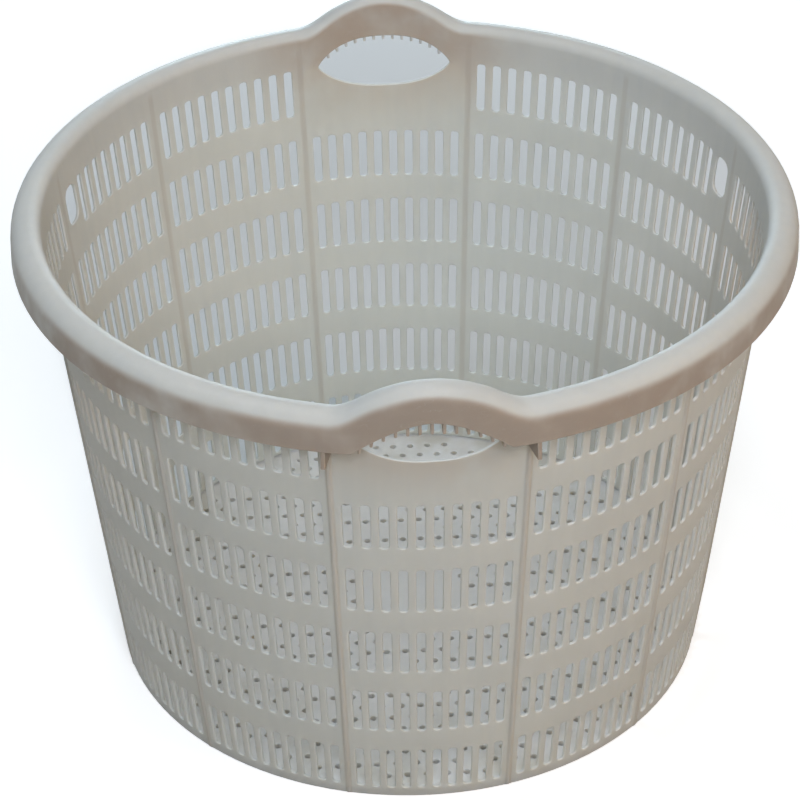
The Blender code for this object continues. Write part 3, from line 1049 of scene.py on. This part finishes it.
# The front comb's dark brown is painted shade under the arch
SHADED_COMB_COLOUR = (0.26, 0.215, 0.175, 1.0)
SHADED_COMB_CLOUD = (0.31, 0.26, 0.22, 1.0)
# Colour of the ribs' painted shade
RIB_SHADE_COLOUR = (0.47, 0.42, 0.355, 1.0)
# Colour of the painted warm shade on the skirt
SKIRT_SHADE_COLOUR = (0.40, 0.335, 0.275, 1.0)
# Colour of the warm, darker tint near the tops of the handles
HANDLE_TINT_COLOUR = (0.485, 0.40, 0.325, 1.0)
# Colour of the whey and of the painted shade in the corner
WHEY_AND_SHADE_COLOUR = (0.56, 0.53, 0.45, 1.0)
SCUFF_COLOUR = (0.74, 0.74, 0.72, 1.0)
SCUFF_ROUGHNESS = 0.14
SCUFF_AMOUNT = 0.2
CLOUD_AMOUNT = 0.7
WHEY_AND_SHADE_TOP = 0.06
GLOSS = 0.25
GLOSS_SPREAD = 0.16
GRAIN_STRENGTH = 0.3
GRAIN_DEPTH = 0.0003

# Colour, cloud, roughness, heights of the scuffs, and the shares of painted skirt shade with the handles'
# tint, of dried whey with painted corner shade, and of the ribs' painted shade
PLASTICS = {
    "milky_wall": (WALL_COLOUR, WALL_CLOUD, 0.5, (0.275, 0.31), 1.0, 0.35, 0.45),
    "milky_lit_floor": (LIT_FLOOR_COLOUR, LIT_FLOOR_CLOUD, 0.46, (0.0, 0.01), 0.0, 0.9, 0.0),
    "milky_shaded_comb": (SHADED_COMB_COLOUR, SHADED_COMB_CLOUD, 0.44, (0.0, 0.0), 0.8, 0.0, 0.0),
}


def milky_plastic(name, colour, cloud, roughness, scuffed, skirt_shading, whey_and_shade, rib_shading):
    """Cloudy plastic. Scuffs lie between two heights, and three masks are shares of one: the painted skirt
    shade with the handles' tint, the corner's residue with its painted shade, and the ribs' painted shade.
    """
    material = bpy.data.materials.new(name)
    material.use_nodes = True
    tree = material.node_tree
    tint = use(tree, cloudy_colour, colour=colour, cloud=cloud, amount=CLOUD_AMOUNT)["Colour"]
    grain = use(tree, moulded_grain, roughness=roughness, spread=GLOSS_SPREAD)
    skirt_masks = use(tree, painted_skirt_shade, amount=skirt_shading)
    whey_and_shade_mask = use(tree, whey_and_corner_shade, top=WHEY_AND_SHADE_TOP, amount=whey_and_shade)["Mask"]
    lines = use(tree, scuffs, low=scuffed[0], high=scuffed[1], amount=SCUFF_AMOUNT)["Mask"]
    thick = use(tree, rib_shade_mask, amount=rib_shading)["Mask"]
    # Painted shade on the ribs
    tint = mixed(tree, thick, tint, RIB_SHADE_COLOUR)
    # Whey with painted shade in the corner of wall and floor
    tint = mixed(tree, whey_and_shade_mask, tint, WHEY_AND_SHADE_COLOUR)
    # The warm, darker tint near the tops of the handles
    tint = mixed(tree, skirt_masks["Handle Tint"], tint, HANDLE_TINT_COLOUR)
    # Painted warm shade on the skirt
    tint = mixed(tree, skirt_masks["Skirt Shade"], tint, SKIRT_SHADE_COLOUR)
    tint = mixed(tree, lines, tint, SCUFF_COLOUR)
    rough = maths(tree, 'MULTIPLY_ADD', lines, SCUFF_ROUGHNESS, grain["Roughness"])
    bump = add(tree, 'Bump', {"Strength": GRAIN_STRENGTH, "Distance": GRAIN_DEPTH, "Height": grain["Height"]})
    shader = tree.nodes["Principled BSDF"]
    tree.links.new(tint, shader.inputs["Base Color"])
    tree.links.new(rough, shader.inputs["Roughness"])
    tree.links.new(bump.outputs[0], shader.inputs["Normal"])
    shader.inputs["Specular IOR Level"].default_value = GLOSS
    shader.inputs["Subsurface Weight"].default_value = 1.0
    shader.inputs["Subsurface Scale"].default_value = SCATTER
    shader.inputs["Subsurface Radius"].default_value = SCATTER_COLOURS
    return material


plastics = {plastic: milky_plastic(plastic, *values) for plastic, values in PLASTICS.items()}
shell.data.materials.append(plastics["milky_wall"])
front_comb.data.materials.append(plastics["milky_shaded_comb"])
# The floor plate and the back comb get the paler colour, which is painted light
for pale_piece in (floor_plate, back_comb):
    pale_piece.data.materials.append(plastics["milky_lit_floor"])
print("materials", list(plastics))

# %% [markdown]
# ## Floor
# The mould stands on a pale floor that looks white to the camera. A floor lit to pure white would throw
# so much light back that every shadow fills up, so the white is only added to what is seen directly. In
# a patch behind the mould that widens as the wall does, nothing is added: this is a painted shadow, so the
# slots there show a plain, darker floor, as they do outdoors.

# %% Floor
FLOOR_SIZE = 14.0
FLOOR_COLOUR = (0.86, 0.86, 0.86, 1)
FLOOR_LIFT = 0.47
BOUNCE_COLOUR = (0.36, 0.32, 0.27, 1)
SHADE_LENGTH = 0.485
SHADE_DRIFT = 0.058
SHADE_WIDTH = 0.174
SHADE_SPREAD = 0.247
SHADE_EDGE = (1.0, 0.85)


def seen_directly(tree):
    """Is one for what the camera sees straight, in a mirror or through glass, and none for other light."""
    path = add(tree, 'LightPath').outputs
    seen = maths(tree, 'MAXIMUM', path["Is Camera Ray"], path["Is Glossy Ray"])
    return maths(tree, 'MAXIMUM', seen, path["Is Transmission Ray"])


def floor_lift(tree):
    """The added white, which fades out in a painted shadow behind the mould that widens as the wall does."""
    place = own_place(tree)
    along = add(tree, 'Clamp', {"Value": parts_of(tree, place)["Y"], "Max": SHADE_LENGTH}).outputs[0]
    spine = add(tree, 'CombineXYZ', {"X": maths(tree, 'MULTIPLY', along, SHADE_DRIFT), "Y": along}).outputs[0]
    distance = add(tree, 'VectorMath', {0: place, 1: spine}, operation='DISTANCE').outputs["Value"]
    width = maths(tree, 'MULTIPLY_ADD', along, SHADE_SPREAD, SHADE_WIDTH)
    # A painted shadow: no white is added in this patch
    shade = ramp(tree, maths(tree, 'DIVIDE', distance, width), *SHADE_EDGE)
    return maths(tree, 'MULTIPLY', maths(tree, 'SUBTRACT', 1.0, shade), FLOOR_LIFT)


def pale_floor():
    bpy.ops.mesh.primitive_plane_add(size=FLOOR_SIZE)
    floor = bpy.context.object
    floor.name = "pale_floor"
    material = bpy.data.materials.new("pale_floor")
    material.use_nodes = True
    tree = material.node_tree
    tree.nodes.clear()
    seen = add(tree, 'BsdfDiffuse', {"Color": FLOOR_COLOUR})
    lift = add(tree, 'Emission', {"Strength": floor_lift(tree)})
    white = add(tree, 'AddShader', {0: seen.outputs[0], 1: lift.outputs[0]})
    bounce = add(tree, 'BsdfDiffuse', {"Color": BOUNCE_COLOUR})
    choice = add(tree, 'MixShader', {0: seen_directly(tree), 1: bounce.outputs[0], 2: white.outputs[0]})
    add(tree, 'OutputMaterial', {"Surface": choice.outputs[0]})
    floor.data.materials.append(material)
    return floor


print("floor", pale_floor().dimensions.x, "m wide")

# %% [markdown]
# ## Light
# A wide soft lamp at the front lights the wall that faces the camera and the inside of the far wall. A
# low lamp behind shines through the wall, which makes the plastic glow. A high lamp at the left lights
# the lip, a warm one at the right stands for light from sunlit ground, and a sky that is brightest
# overhead fills the rest. A sky picture could do all of this, but each light here is one line that can be
# changed by itself.

# %% Light
LAMP_DISTANCE = 2.3
LAMP_SIZE = 1.0
LAMP_AIM = Vector((0, 0, 0.2))
SKY_LIGHT = (0.21, 0.25, 0.25, 1)

# Turn from the front, climb, power in watts and colour of each lamp
LAMPS = {
    "front_key": (2, 37, 31, (0.87, 0.90, 0.97)),
    "high_left": (-90, 76, 14.5, (0.84, 0.88, 1.0)),
    "low_back": (180, 8, 20.5, (0.68, 0.88, 1.0)),
    "warm_side": (60, 30, 8.7, (1.0, 0.56, 0.2)),
}


def open_sky():
    """A white backdrop for what is seen directly, and for the rest a light that fades towards the horizon."""
    world = bpy.data.worlds.new("open_sky")
    bpy.context.scene.world = world
    world.use_nodes = True
    tree = world.node_tree
    tree.nodes.clear()
    climb = parts_of(tree, add(tree, 'TexCoord').outputs["Generated"])["Z"]
    light = add(tree, 'Background', {"Color": SKY_LIGHT, "Strength": maths(tree, 'MAXIMUM', climb, 0.0)})
    backdrop = add(tree, 'Background', {"Color": (1, 1, 1, 1)})
    choice = add(tree, 'MixShader', {0: seen_directly(tree), 1: light.outputs[0], 2: backdrop.outputs[0]})
    add(tree, 'OutputWorld', {"Surface": choice.outputs[0]})


def soft_lamp(name, turn, climb, power, colour):
    lamp = bpy.data.lights.new(name, 'AREA')
    lamp.shape = 'DISK'
    lamp.size = LAMP_SIZE
    lamp.energy = power
    lamp.color = colour
    thing = bpy.data.objects.new(name, lamp)
    reach = LAMP_DISTANCE * cos(radians(climb))
    thing.location = LAMP_AIM + Vector(around(turn, reach, LAMP_DISTANCE * sin(radians(climb))))
    thing.rotation_euler = (LAMP_AIM - thing.location).to_track_quat('-Z', 'Y').to_euler()
    bpy.context.scene.collection.objects.link(thing)


open_sky()
for lamp_name, settings in LAMPS.items():
    soft_lamp(lamp_name, *settings)
bpy.context.scene.view_settings.view_transform = 'Standard'
print(len(LAMPS), "lamps")
